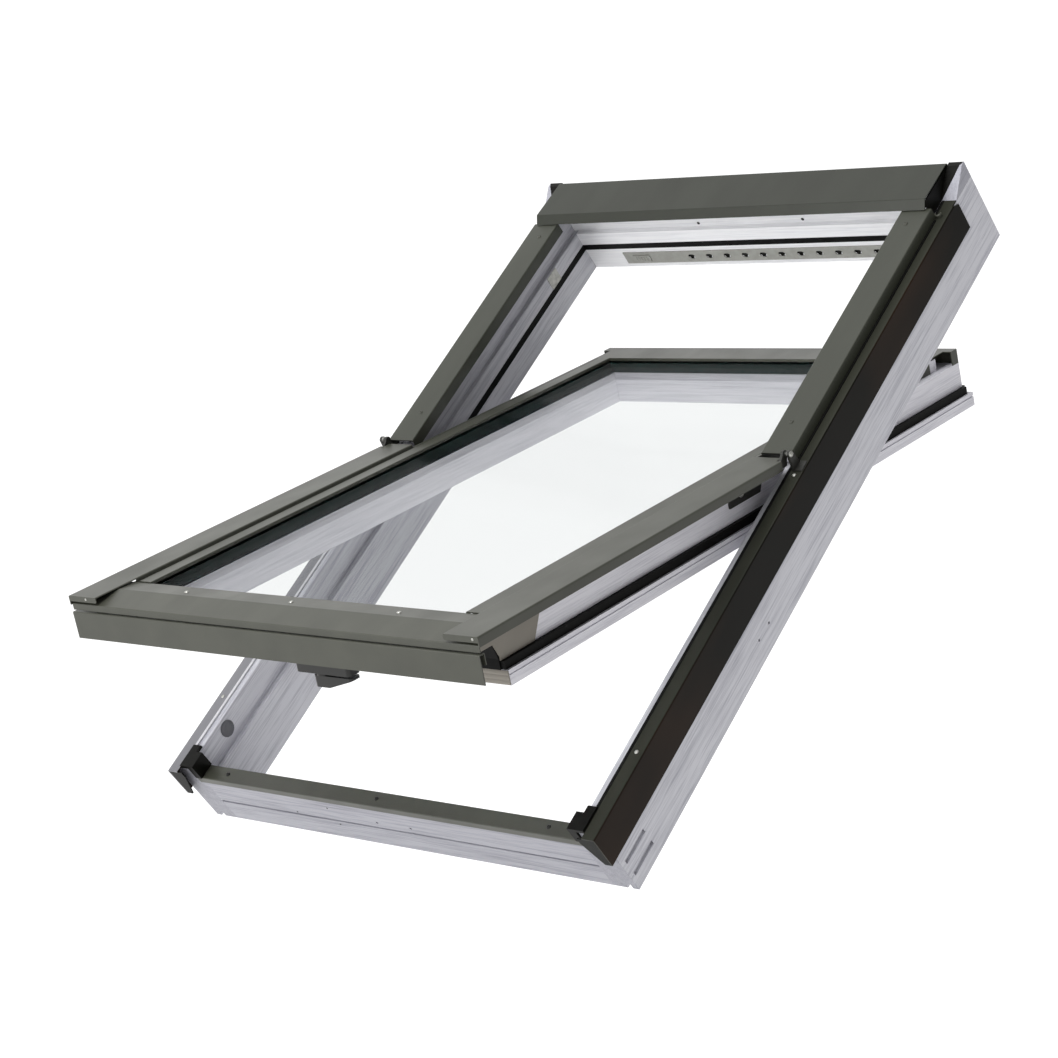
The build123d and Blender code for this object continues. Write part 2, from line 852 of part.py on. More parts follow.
# Covers along the top and the bottom of the sash
with BuildPart() as top_cover:
    with BuildSketch(sash.offset(bead_out)):
        with Locations((0, (top_cover_inner + sash_top) / 2)):
            Rectangle(2 * sash_cover_inner, sash_top - top_cover_inner)
        with Locations((0, (top_cover_wide_from + sash_top) / 2)):
            Rectangle(2 * stile_outer, sash_top - top_cover_wide_from)
    extrude(amount=-sheet)
    with BuildSketch(along(sash, -stile_outer)):
        with Locations((sash_top - sheet / 2, (bead_out + stile_top_under_cover) / 2)):
            Rectangle(sheet, bead_out - stile_top_under_cover)
    extrude(amount=2 * stile_outer)
    with BuildSketch(across(sash, sash_top)):
        with Locations(
            (stile_outer - sheet / 2, (bead_out + stile_top_under_cover) / 2),
            (sheet / 2 - stile_outer, (bead_out + stile_top_under_cover) / 2),
        ):
            Rectangle(sheet, bead_out - stile_top_under_cover)
    extrude(amount=sash_top - top_cover_wide_from)
    with BuildSketch(along(sash, -edge_cover_inner)):
        with Locations((top_cover_inner + sheet / 2, (bead_out + stile_top) / 2)):
            Rectangle(sheet, bead_out - stile_top)
    extrude(amount=2 * edge_cover_inner)
save("top_cover", top_cover)
bottom_cover = folded_sheet(
    along(sash, -skirt_half),
    [
        (bottom_cover_inner, stile_top),
        (bottom_cover_inner, bead_out - bottom_cover_inner_drop),
        (bottom_cover_ridge, bead_out + bottom_cover_ridge_rise),
        (bottom_cover_front, bottom_cover_front_out),
        (bottom_cover_front, bottom_cover_lip_end),
    ],
    2 * skirt_half,
    radius=sheet,
)
save("bottom_cover", bottom_cover)
skirt = folded_sheet(
    along(sash, -skirt_half),
    [
        (nose_down, nose_back),
        (nose_down, skirt_top),
        (skirt_front, skirt_top),
        (skirt_front, skirt_back),
    ],
    2 * skirt_half,
    radius=sheet,
)
save("skirt", skirt)

# Plates on the lower outer faces of the stiles
side_plate = bar(
    along(sash, stile_outer),
    [
        (nose_down, side_plate_edge_out),
        (side_plate_up, side_plate_edge_out),
        (side_plate_up, side_plate_slant_out),
        (side_plate_slant_up, side_plate_back),
        (lip_down, side_plate_back),
        (lip_down, nose_slope_back),
        (nose_slope_down, nose_back),
        (nose_down, nose_back),
    ],
    side_plate_thick,
)
save_pair("side_plate", side_plate)

# Pivot brackets of the frame: foot, ear and pin
with BuildPart() as pivot_bracket:
    with BuildSketch(window.offset(profile_out)):
        with Locations(((ear_inner + half_width) / 2, pivot_up)):
            Rectangle(half_width - ear_inner, 2 * ear_foot_half)
    extrude(amount=ear_foot_height)
    with BuildSketch(along(window, ear_inner)):
        with BuildLine():
            Polyline(
                (pivot_up - ear_foot_half, profile_out),
                (pivot_up - ear_radius, pivot_out),
                (pivot_up + ear_radius, pivot_out),
                (pivot_up + ear_foot_half, profile_out),
                close=True,
            )
        make_face()
        with Locations((pivot_up, pivot_out)):
            Circle(ear_radius)
    extrude(amount=ear_thick)
    with BuildSketch(along(window, lug_inner)):
        with Locations((pivot_up, pivot_out)):
            Circle(pin_radius)
    extrude(amount=ear_inner - lug_inner)
save_pair("pivot_bracket", pivot_bracket)

# Hinge plates of the sash: base on the stile, web under the cover and bored lug
with BuildPart() as hinge_plate:
    with BuildSketch(along(sash, stile_outer)):
        with BuildLine():
            Polyline(
                (hinge_plate_down, stile_top),
                (hinge_plate_up, stile_top),
                (hinge_plate_up, stile_top - web_thick),
                (hinge_plate_up - hinge_plate_slant, hinge_plate_back),
                (hinge_plate_down, hinge_plate_back),
                close=True,
            )
        make_face()
    extrude(amount=hinge_plate_thick)
    with BuildSketch(sash.offset(stile_top - web_thick)):
        with Locations(((stile_outer + lug_outer) / 2, -web_length / 2)):
            Rectangle(lug_outer - stile_outer, web_length)
    extrude(amount=web_thick)
    with BuildSketch(along(sash, lug_inner)):
        with BuildLine():
            Polyline(
                (-web_length, stile_top - web_thick),
                (-web_length, stile_top),
                (-lug_radius, 0),
                (lug_radius, 0),
                (0, stile_top - web_thick),
                close=True,
            )
        make_face()
        Circle(lug_radius)
        Circle(lug_bore, mode=Mode.SUBTRACT)
    extrude(amount=lug_outer - lug_inner)
save_pair("hinge_plate", hinge_plate)

# Handle: base with a bored boss on the bottom rail, wedge-shaped lever with a spindle
with BuildPart() as handle_base:
    with BuildSketch(sash.offset(base_out)):
        with Locations((handle_base_shift, handle_down)):
            RectangleRounded(2 * handle_base_half, handle_base_width, handle_base_width / 4)
    extrude(amount=handle_base_thick)
    with BuildSketch(sash.offset(boss_out)):
        with Locations((0, handle_down)):
            Circle(handle_boss_radius)
    extrude(amount=handle_boss_height)
    with BuildSketch(sash.offset(boss_out)):
        with Locations((0, handle_down)):
            Circle(spindle_radius + spindle_clearance)
    extrude(amount=handle_boss_height, mode=Mode.SUBTRACT)
save("handle_base", handle_base)
with BuildPart() as handle_lever:
    with BuildSketch(sash.offset(lever_bottom)):
        with Locations(((lever_length - 2 * lever_tail) / 2, handle_down)):
            RectangleRounded(lever_length, lever_width, lever_width / 3)
    extrude(amount=lever_depth)
    with BuildSketch(across(sash, handle_down + lever_width / 2)):
        with BuildLine():
            Polyline(
                (-lever_tail, lever_out),
                (lever_slant - lever_tail, lever_bottom),
                (lever_grip + lever_slant - lever_tail, lever_bottom),
                (lever_length - lever_tail, lever_out - lever_tip),
                (lever_length - lever_tail, lever_out),
                close=True,
            )
        make_face()
    extrude(amount=lever_width, mode=Mode.INTERSECT)
    with BuildSketch(sash.offset(lever_out)):
        with Locations((0, handle_down)):
            Circle(spindle_radius)
    extrude(amount=handle_boss_height)
save("handle_lever", handle_lever)
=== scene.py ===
"""Looks for a centre pivot roof window: materials, small pieces, camera and light.

Every length is in metres. A place on the frame is (u, v, w): across from the middle, up the slope
from the sill's outer edge, out of the roof from the room side. A place on the sash is (u, s, h):
across, up and out from the pivot axis.
"""
import json
import math

import bmesh
import bpy
import numpy as np
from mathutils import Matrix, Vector


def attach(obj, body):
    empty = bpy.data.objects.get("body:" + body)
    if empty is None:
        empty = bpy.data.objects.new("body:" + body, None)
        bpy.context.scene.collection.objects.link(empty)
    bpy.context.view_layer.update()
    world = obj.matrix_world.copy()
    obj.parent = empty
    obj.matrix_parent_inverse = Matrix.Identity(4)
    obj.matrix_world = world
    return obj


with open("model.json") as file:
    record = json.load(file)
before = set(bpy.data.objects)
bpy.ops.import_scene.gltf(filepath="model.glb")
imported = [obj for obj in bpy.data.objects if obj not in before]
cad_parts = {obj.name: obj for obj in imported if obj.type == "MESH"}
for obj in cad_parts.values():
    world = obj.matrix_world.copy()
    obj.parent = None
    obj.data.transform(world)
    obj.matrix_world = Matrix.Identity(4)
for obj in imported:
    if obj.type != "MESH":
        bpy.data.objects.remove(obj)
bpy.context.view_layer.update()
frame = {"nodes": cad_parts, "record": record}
nodes = frame["nodes"]
mm = 0.001

PITCH = math.radians(45)
SASH_PITCH = math.radians(17)
SILL_HALF = 15 * mm
PIVOT_V = 608 * mm
PIVOT_W = 142 * mm


def on_frame(u, v, w):
    """Point of the frame: v - 15 mm along the slope and w along its normal, both at 45 degrees."""
    c, s = math.cos(PITCH), math.sin(PITCH)
    along = v - SILL_HALF
    return Vector((u, along * c - w * s, along * s + w * c))


def on_sash(u, s, h):
    """Point of the sash: s along its own slope and h along its normal, from the pivot axis."""
    base = on_frame(0, PIVOT_V, PIVOT_W)
    c, q = math.cos(SASH_PITCH), math.sin(SASH_PITCH)
    return Vector((u, base.y + s * c - h * q, base.z + s * q + h * c))


def slope_axes(pitch):
    """Directions up a slope of the given pitch and out of it."""
    c, s = math.cos(pitch), math.sin(pitch)
    return Vector((0, c, s)), Vector((0, -s, c))


ACROSS = Vector((1, 0, 0))
UP, OUT = slope_axes(PITCH)
SASH_UP, SASH_OUT = slope_axes(SASH_PITCH)


# Materials

def colour(code):
    """Linear RGBA of an sRGB hex colour."""
    parts = [int(code[i:i + 2], 16) / 255 for i in (1, 3, 5)]
    return [c / 12.92 if c <= 0.04045 else ((c + 0.055) / 1.055) ** 2.4 for c in parts] + [1.0]


def add(tree, kind, settings=None, links=None):
    """Adds a node: settings are properties and input values, links are outputs for its inputs."""
    node = tree.nodes.new(kind)
    for key, value in (settings or {}).items():
        if isinstance(key, str) and hasattr(node, key):
            setattr(node, key, value)
        else:
            node.inputs[key].default_value = value
    for key, output in (links or {}).items():
        tree.links.new(output, node.inputs[key])
    return node


def new_material(name):
    """Empty node material and the tree to build in."""
    mat = bpy.data.materials.new(name)
    mat.use_nodes = True
    mat.node_tree.nodes.clear()
    return mat, mat.node_tree


def surface(tree, settings, links=None):
    """Shader with its settings and links, joined to the material's output."""
    shader = add(tree, "ShaderNodeBsdfPrincipled", settings, links)
    add(tree, "ShaderNodeOutputMaterial", links={"Surface": shader.outputs["BSDF"]})


def along_piece(tree, pitch=0.0, stretch=(1, 1, 1)):
    """Object coordinates turned back by the pitch of the piece, then scaled along its own axes."""
    tex = add(tree, "ShaderNodeTexCoord")
    level = add(
        tree, "ShaderNodeMapping", {"Rotation": (-pitch, 0, 0)}, {"Vector": tex.outputs["Object"]}
    )
    scaled = add(tree, "ShaderNodeMapping", {"Scale": stretch}, {"Vector": level.outputs["Vector"]})
    return scaled.outputs["Vector"]


def facing(tree, direction, low, high):
    """How much a surface faces along a direction: 0 where the cosine is low, 1 where it is high."""
    tex = add(tree, "ShaderNodeTexCoord")
    cosine = add(
        tree, "ShaderNodeVectorMath", {"operation": "DOT_PRODUCT", 1: direction},
        {0: tex.outputs["Normal"]},
    )
    size = add(tree, "ShaderNodeMath", {"operation": "ABSOLUTE"}, {0: cosine.outputs["Value"]})
    share = add(
        tree, "ShaderNodeMapRange", {"From Min": low, "From Max": high},
        {"Value": size.outputs["Value"]},
    )
    return share.outputs["Result"]


def shaded(tree, factor, low, high, dark, light):
    """Colour that goes from dark to light while the factor goes from low to high."""
    share = add(tree, "ShaderNodeMapRange", {"From Min": low, "From Max": high}, {"Value": factor})
    mix = add(
        tree, "ShaderNodeMix", {"data_type": "RGBA", "A": colour(dark), "B": colour(light)},
        {"Factor": share.outputs["Result"]},
    )
    return mix.outputs["Result"]


# Noise keeps mostly between these two values
MIDDLE = {"From Min": 0.3, "From Max": 0.7}


def lacquered_pine(name, pitch, grain_axis, light, dark, end):
    """White lacquer on planed pine: pale bands 9 mm wide and streaks along the grain, with a soft
    satin sheen. The streaks are drawn 1.8 mm wide, coarser than real, so that they show. The end
    grain drinks more lacquer and stays duller."""
    mat, tree = new_material(name)
    slow, fast, along = (0.04, 1.0, 1.0), (0.025, 1.0, 1.0), (1, 0, 0)
    if grain_axis == "y":
        slow, fast = (1.0, 0.04, 1.0), (1.0, 0.025, 1.0)
        along = (0, math.cos(pitch), math.sin(pitch))
    bands = add(
        tree, "ShaderNodeTexNoise", {"Scale": 1 / (9 * mm), "Detail": 4, "Roughness": 0.6},
        {"Vector": along_piece(tree, pitch, slow)},
    )
    streaks = add(
        tree, "ShaderNodeTexNoise", {"Scale": 1 / (1.8 * mm), "Detail": 4, "Roughness": 0.65},
        {"Vector": along_piece(tree, pitch, fast)},
    )
    broad = add(
        tree, "ShaderNodeMapRange", {**MIDDLE, "To Max": 0.4}, {"Value": bands.outputs["Fac"]}
    )
    fine = add(
        tree, "ShaderNodeMapRange", {**MIDDLE, "To Max": 0.6}, {"Value": streaks.outputs["Fac"]}
    )
    both = add(
        tree, "ShaderNodeMath", {"operation": "ADD"},
        {0: broad.outputs["Result"], 1: fine.outputs["Result"]},
    )
    grain = both.outputs["Value"]
    tone = add(
        tree, "ShaderNodeMix", {"data_type": "RGBA"},
        {
            "Factor": facing(tree, along, 0.8, 0.95),
            "A": shaded(tree, grain, 0.15, 0.6, dark, light),
            "B": shaded(tree, grain, 0.2, 0.8, *end),
        },
    )
    sheen = add(tree, "ShaderNodeMapRange", {"To Min": 0.58, "To Max": 0.4}, {"Value": grain})
    relief = add(
        tree, "ShaderNodeBump", {"Distance": 0.25 * mm, "Strength": 0.6}, {"Height": grain}
    )
    surface(tree, {"Specular IOR Level": 0.3}, {
        "Base Color": tone.outputs["Result"],
        "Roughness": sheen.outputs["Result"],
        "Normal": relief.outputs["Normal"],
    })
    return mat


def peel_relief(tree):
    """Orange peel of stove lacquer: 0.02 mm deep and 0.5 mm wide."""
    peel = add(
        tree, "ShaderNodeTexNoise", {"Scale": 1 / (0.5 * mm), "Detail": 2},
        {"Vector": along_piece(tree, PITCH)},
    )
    relief = add(
        tree, "ShaderNodeBump", {"Distance": 0.02 * mm, "Strength": 0.5},
        {"Height": peel.outputs["Fac"]},
    )
    return relief.outputs["Normal"]


def coated_metal(name, light, dark, rough):
    """Stove-lacquered or anodised aluminium: faint clouds 60 mm wide, drawn out along the sheet,
    and fine orange peel that softens its satin sheen."""
    mat, tree = new_material(name)
    clouds = add(
        tree, "ShaderNodeTexNoise", {"Scale": 1 / (60 * mm), "Detail": 3},
        {"Vector": along_piece(tree, PITCH, (1, 0.3, 1))},
    )
    sheen = add(
        tree, "ShaderNodeMapRange", {**MIDDLE, "To Min": rough + 0.05, "To Max": rough - 0.04},
        {"Value": clouds.outputs["Fac"]},
    )
    surface(tree, {"Specular IOR Level": 0.35}, {
        "Base Color": shaded(tree, clouds.outputs["Fac"], 0.3, 0.7, dark, light),
        "Roughness": sheen.outputs["Result"],
        "Normal": peel_relief(tree),
    })
    return mat


def profile_coat(name, face, leg, rough):
    """Lacquered extruded profile: olive on the strip that faces out of the roof, near-black brown
    on its side leg, where warm patches 130 mm wide are a painted reflection."""
    mat, tree = new_material(name)
    clouds = add(
        tree, "ShaderNodeTexNoise", {"Scale": 1 / (50 * mm), "Detail": 3},
        {"Vector": along_piece(tree, PITCH, (1, 0.25, 1))},
    )
    patches = add(
        tree, "ShaderNodeTexNoise", {"Scale": 1 / (130 * mm), "Detail": 2},
        {"Vector": along_piece(tree, PITCH, (1, 0.5, 1))},
    )
    tone = add(
        tree, "ShaderNodeMix", {"data_type": "RGBA"},
        {
            "Factor": facing(tree, (1, 0, 0), 0.45, 0.75),
            "A": shaded(tree, clouds.outputs["Fac"], 0.3, 0.7, *face),
            "B": shaded(tree, patches.outputs["Fac"], 0.42, 0.68, *leg),
        },
    )
    sheen = add(
        tree, "ShaderNodeMapRange", {**MIDDLE, "To Min": rough + 0.04, "To Max": rough - 0.04},
        {"Value": clouds.outputs["Fac"]},
    )
    surface(tree, {"Specular IOR Level": 0.08}, {
        "Base Color": tone.outputs["Result"],
        "Roughness": sheen.outputs["Result"],
        "Normal": peel_relief(tree),
    })
    return mat


def moulded(name, light, dark, rough):
    """Moulded plastic or rubber, dulled by a leathery relief of 0.6 mm, with clouds 9 mm wide."""
    mat, tree = new_material(name)
    clouds = add(
        tree, "ShaderNodeTexNoise", {"Scale": 1 / (9 * mm), "Detail": 3},
        {"Vector": along_piece(tree)},
    )
    leather = add(
        tree, "ShaderNodeTexNoise", {"Scale": 1 / (0.6 * mm), "Detail": 2},
        {"Vector": along_piece(tree)},
    )
    sheen = add(
        tree, "ShaderNodeMapRange", {**MIDDLE, "To Min": rough - 0.06, "To Max": rough + 0.06},
        {"Value": leather.outputs["Fac"]},
    )
    relief = add(
        tree, "ShaderNodeBump", {"Distance": 0.05 * mm, "Strength": 0.4},
        {"Height": leather.outputs["Fac"]},
    )
    surface(tree, {"Specular IOR Level": 0.1}, {
        "Base Color": shaded(tree, clouds.outputs["Fac"], 0.3, 0.7, dark, light),
        "Roughness": sheen.outputs["Result"],
        "Normal": relief.outputs["Normal"],
    })
    return mat


def plated_steel(name, light, dark, rough):
    """Zinc-plated steel: bright, with crystals 1.4 mm wide and dull spots."""
    mat, tree = new_material(name)
    crystals = add(
        tree, "ShaderNodeTexVoronoi", {"Scale": 1 / (1.4 * mm)}, {"Vector": along_piece(tree)}
    )
    clouds = add(
        tree, "ShaderNodeTexNoise", {"Scale": 1 / (6 * mm), "Detail": 3},
        {"Vector": along_piece(tree)},
    )
    sheen = add(
        tree, "ShaderNodeMapRange", {"To Min": rough, "To Max": rough + 0.12},
        {"Value": crystals.outputs["Distance"]},
    )
    relief = add(
        tree, "ShaderNodeBump", {"Distance": 0.01 * mm, "Strength": 0.3},
        {"Height": crystals.outputs["Distance"]},
    )
    surface(tree, {"Metallic": 0.9}, {
        "Base Color": shaded(tree, clouds.outputs["Fac"], 0.3, 0.7, dark, light),
        "Roughness": sheen.outputs["Result"],
        "Normal": relief.outputs["Normal"],
    })
    return mat


def float_glass(name):
    """Clear float glass, drawn thin: mostly see-through with a faint grey-green tint and soft
    ripples 260 mm wide. Its IOR is low, so that it hardly mirrors the pale room."""
    mat, tree = new_material(name)
    ripples = add(
        tree, "ShaderNodeTexNoise", {"Scale": 1 / (260 * mm), "Detail": 1},
        {"Vector": along_piece(tree, SASH_PITCH)},
    )
    relief = add(
        tree, "ShaderNodeBump", {"Distance": 0.05 * mm, "Strength": 0.3},
        {"Height": ripples.outputs["Fac"]},
    )
    surface(tree, {
        "Base Color": colour("#F1F2F2"),
        "Roughness": 0.02,
        "IOR": 1.02,
        "Transmission Weight": 1.0,
    }, {"Normal": relief.outputs["Normal"]})
    return mat


# Finishes of this window. End grain is duller on the frame than on the head and the sash
dull, pale = ("#7C7C83", "#8F8F96"), ("#B9B9BF", "#C9C9CE")
frame_side = lacquered_pine("lacquered_pine_jambs", PITCH, "y", "#C6C6CC", "#A1A1AA", dull)
# The corner blocks and the sill are darker copies of the lacquered pine, as painted shade, and the
# head is a lighter copy, as painted light
corner_timber_painted_shade = lacquered_pine("lacquered_pine_corners_painted_shade", PITCH, "y", "#9C9CA4", "#898991", dull)
sill_timber_painted_shade = lacquered_pine("lacquered_pine_sill_painted_shade", PITCH, "x", "#93939A", "#76767E", dull)
head_timber_painted_light = lacquered_pine("lacquered_pine_head_painted_light", PITCH, "x", "#F6F6F8", "#E4E4E8", pale)
sash_tones = ("#D8D7DD", "#BEBDC5")
sash_side = lacquered_pine("lacquered_pine_stiles", SASH_PITCH, "y", *sash_tones, pale)
sash_across = lacquered_pine("lacquered_pine_sash_rails", SASH_PITCH, "x", *sash_tones, pale)
cover_metal = coated_metal("olive_coated_aluminium", "#3F4038", "#393A33", 0.36)
# The hood and the upper covers are darker copies of the olive coated aluminium: painted shade
hood_metal_painted_shade = coated_metal("olive_coated_aluminium_hood_painted_shade", "#23261D", "#1F2119", 0.36)
upper_metal_painted_shade = coated_metal("olive_coated_aluminium_upper_painted_shade", "#33352D", "#2D2F27", 0.36)
plate_metal = coated_metal("brown_coated_aluminium", "#7C776E", "#726D64", 0.4)
# Near-black brown of the leg first, then the warm brown of its painted reflection
leg_brown_and_painted_reflection = ("#0D0B07", "#24180F")
profile_metal = profile_coat("two_tone_coated_profile", ("#2A2B25", "#30312A"), leg_brown_and_painted_reflection, 0.32)
# The left profile's face is a grey copy of the right-hand one: painted reflection
profile_painted_reflection = profile_coat("coated_profile_face_painted_reflection", ("#76767A", "#7E7E82"), leg_brown_and_painted_reflection, 0.32)
pivot_metal = coated_metal("dark_coated_steel", "#2B2B28", "#222220", 0.4)
seal_rubber = moulded("black_seal_rubber", "#0C0C0B", "#070706", 0.6)
# The left weather strip is a pale copy of the black seal rubber: painted reflection
rubber_painted_reflection = moulded("seal_rubber_painted_reflection", "#C9C9CC", "#BDBDC1", 0.6)
black_plastic = moulded("black_moulded_plastic", "#0E0E0B", "#080806", 0.45)
grey_plastic = moulded("grey_moulded_plastic", "#A3A39E", "#979791", 0.5)
disc_plastic = moulded("slate_moulded_plastic", "#68686C", "#5F5F63", 0.5)
zinc = plated_steel("zinc_plated_steel", "#B9B9B4", "#9A9A95", 0.32)
spacer_paint = moulded("black_spacer_frame", "#10211F", "#0B1918", 0.4)
handle_metal = coated_metal("black_anodised_aluminium", "#1A1A18", "#141412", 0.3)
glass = float_glass("clear_float_glass")

BY_SLOT = {
    "frame_timber": frame_side,
    "sash_timber": sash_side,
    "seal_rubber": seal_rubber,
    "cover_aluminium": cover_metal,
    "dark_profile": profile_metal,
    "black_plastic": black_plastic,
    "grey_plastic": grey_plastic,
    "plated_steel": zinc,
    "pivot_metal": pivot_metal,
    "glass": glass,
    "spacer_metal": spacer_paint,
    "handle_metal": handle_metal,
}
BY_NODE = {
    "sill": sill_timber_painted_shade,
    "head": head_timber_painted_light,
    "left_corner_block": corner_timber_painted_shade,
    "right_corner_block": corner_timber_painted_shade,
    "hood": hood_metal_painted_shade,
    "left_upper_cover": upper_metal_painted_shade,
    "right_upper_cover": upper_metal_painted_shade,
    "left_flashing_profile": profile_painted_reflection,
    "left_weather_strip": rubber_painted_reflection,
    "top_rail": sash_across,
    "bottom_rail": sash_across,
    "left_side_plate": plate_metal,
    "right_side_plate": plate_metal,
    "left_bolt_socket": disc_plastic,
    "right_bolt_socket": disc_plastic,
}
slot_of = {item["node"]: item["material_slot"] for item in frame["record"]["subparts"]}
for name, obj in nodes.items():
    chosen = BY_NODE.get(name, BY_SLOT[slot_of[name]])
    for material_slot in obj.material_slots:
        material_slot.material = chosen


# Small pieces: surfaces of revolution and profiles run along a path

def skin(name, points, material, body):
    """Closed mesh over a grid of points: rows along a path, columns around it, both ends capped."""
    rows, cols = points.shape[:2]
    base = np.arange(rows - 1)[:, None] * cols
    here, there = np.arange(cols), (np.arange(cols) + 1) % cols
    quads = np.stack([base + here, base + there, base + cols + there, base + cols + here], axis=-1)
    faces = quads.reshape(-1, 4).tolist()
    faces += [list(range(cols)), list(range((rows - 1) * cols, rows * cols))]
    mesh = bpy.data.meshes.new(name)
    mesh.from_pydata(points.reshape(-1, 3).tolist(), [], faces)
    work = bmesh.new()
    work.from_mesh(mesh)
    bmesh.ops.recalc_face_normals(work, faces=work.faces)
    work.to_mesh(mesh)
    work.free()
    mesh.polygons.foreach_set("use_smooth", [True] * len(mesh.polygons))
    mesh.set_sharp_from_angle(angle=math.radians(35))
    mesh.materials.append(material)
    piece = bpy.data.objects.new(name, mesh)
    bpy.context.collection.objects.link(piece)
    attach(piece, body)


def dome(name, place, side, out, r, h, phi, material, body):
    """Skin over polar grids: point = place + r cos phi side + r sin phi other + h out."""
    a, b, c = (np.array(v) for v in (side, out.cross(side), out))
    x, y = (r * np.cos(phi))[..., None], (r * np.sin(phi))[..., None]
    skin(name, np.array(place) + x * a + y * b + h[..., None] * c, material, body)


def pan_screw(name, place, side, out, radius, material, body):
    """Pan-head screw with a cross recess: height 0.45 R (1 - (r/R)^3), less 0.3 R inside the recess
    whose edge is at 0.3 R (1 + 0.5 cos 4 phi)."""
    phi = np.linspace(0, 2 * np.pi, 48, endpoint=False)
    reach = np.array([0.02, 0.15, 0.25, 0.33, 0.4, 0.48, 0.6, 0.75, 0.88, 0.96, 1.0, 1.0])
    r = radius * reach[:, None] * np.ones_like(phi)
    edge = 0.3 * radius * (1 + 0.5 * np.cos(4 * phi))
    h = 0.45 * radius * (1 - (r / radius) ** 3) + 0.12 * radius
    h = h - 0.3 * radius / (1 + np.exp((r - edge) / (0.04 * radius)))
    h[-1] = -0.05 * radius
    dome(name, place, side, out, r, h, phi, material, body)


def button(name, place, side, out, radius, material, body):
    """Flat round cap: height 0.12 R (1 - (r/R)^4) over a short skirt."""
    phi = np.linspace(0, 2 * np.pi, 48, endpoint=False)
    reach = np.array([0.02, 0.3, 0.6, 0.8, 0.92, 1.0, 1.0])
    r = radius * reach[:, None] * np.ones_like(phi)
    h = 0.12 * radius * (1 - (r / radius) ** 4) + 0.04 * radius
    h[-1] = -0.02 * radius
    dome(name, place, side, out, r, h, phi, material, body)


def run(name, start, end, side, out, section, material, body):
    """Straight run of a closed section: point = start + t (end - start) + x side + y out."""
    section = np.asarray(section)
    t = np.linspace(0, 1, 5)[:, None, None]
    path = np.array(start) * (1 - t) + np.array(end) * t
    x, y = section[None, :, :1], section[None, :, 1:]
    skin(name, path + x * np.array(side) + y * np.array(out), material, body)


def rounded(width, height, count=20):
    """Section of a rounded strip, a superellipse: x = w/2 |cos|^0.5 and y = h/2 (1 + |sin|^0.5),
    with the signs of the cosine and the sine."""
    phi = np.linspace(0, 2 * np.pi, count, endpoint=False)
    x = width / 2 * np.sign(np.cos(phi)) * np.abs(np.cos(phi)) ** 0.5
    y = height / 2 * (1 + np.sign(np.sin(phi)) * np.abs(np.sin(phi)) ** 0.5)
    return np.stack([x, y], axis=-1)


def hook(name, centre, side, out, axis, radius, wire, sweep, material, body):
    """Bent wire: a tube of radius wire along an arc of the given radius, between two angles in
    degrees. Point = centre + radial (radius + wire cos phi) + axis wire sin phi."""
    turn = np.radians(np.linspace(sweep[0], sweep[1], 20))[:, None, None]
    phi = np.linspace(0, 2 * np.pi, 12, endpoint=False)[None, :, None]
    a, b, c = (np.array(v) for v in (side, out, axis))
    radial = np.cos(turn) * a + np.sin(turn) * b
    grid = np.array(centre) + radial * (radius + wire * np.cos(phi)) + c * wire * np.sin(phi)
    skin(name, grid, material, body)


def vent_hole_shade(name, place, side, out, axis, size, material, body):
    """Dark dished shape in an inlet hole, painted shade of the hole: rim r = R (1 + 0.25 cos 3 (phi
    + 90 degrees)), flattened to 0.8 of its height and dished by 0.15 R towards the middle."""
    phi = np.linspace(0, 2 * np.pi, 36, endpoint=False)
    reach = np.array([0.05, 0.4, 0.8, 1.0, 1.0])
    r = reach[:, None] * size * (1 + 0.25 * np.cos(3 * (phi + np.pi / 2)))
    h = 0.15 * size * reach[:, None] ** 2 * np.ones_like(phi)
    h[-1] = -0.02 * size
    a, b, c = (np.array(v) for v in (side, out, axis))
    x, y = (r * np.cos(phi))[..., None], (0.8 * r * np.sin(phi))[..., None]
    skin(name, np.array(place) + x * a + y * b + h[..., None] * c, material, body)


# Where the small pieces stand: (across, up, out) in mm on the frame or on the sash
POINT_ON = {"frame": on_frame, "sash": on_sash}

# On both sides, given for the right-hand one
COVER_SCREWS = ((345, 672, 136), (345, 1060, 136))
STRIP_SCREWS = ((381, 124, 118), (381, 592, 118))
COVER_LIP = ((375.2, 616, 117.9), (375.2, 1084, 117.9))
PIN_OUTER_FACE, PIN_INNER_FACE = 379.6, 375.4
HOOD_CLIP = (377, 1094, 122.5)
HINGE_BOLTS = ((334, -62, -36), (334, -26, -24))
SOCKET_CAP = (356.1, 84, 98)

# On the rails and their covers
HEAD_SCREWS = ((-100, 1141, 80), (98, 1141, 80))
SILL_COVER_SCREWS = ((-301, 11, 95), (-10, 11, 95), (292, 11, 95))
SILL_PINS = ((-190, 0.1, 45), (-115, 0.1, 68), (-115, 0.1, 32))
BOTTOM_COVER_SCREWS = ((-193, -585, -9.3), (6, -585, -9.3), (196, -585, -9.3))
# Bright rivets on the rounded corners of the side covers' ends: painted highlights
COVER_END_HIGHLIGHT_RIVETS = ((-338, -638.4, -9.5), (364, -638.4, -9.5))
# Dark shapes in the air inlet's holes: painted shade of the holes
VENT_HOLE_SHADES = [(35 * number - 140, 1131.7, 20) for number in range(12)]
SLIDER_RIBS = [((across, 1128.6, 15.5), (across, 1128.6, 23.5)) for across in range(-250, -229, 5)]
RAIL_STRIP = ((-341.5, -568, -79.6), (341.5, -568, -79.6))
RAIL_STRIP_HEIGHT = 18.6


def spot(body, place, sign=1):
    """Point of a body for a place in mm, taken to the left where the sign is -1."""
    u, v, w = place
    return POINT_ON[body](sign * u * mm, v * mm, w * mm)


def screws(name, body, places, side, out, radius, material, sign=1):
    """One pan-head screw at each place, numbered from 1."""
    for number, place in enumerate(places, 1):
        pan_screw(f"{name}_{number}", spot(body, place, sign), side, out, radius, material, body)


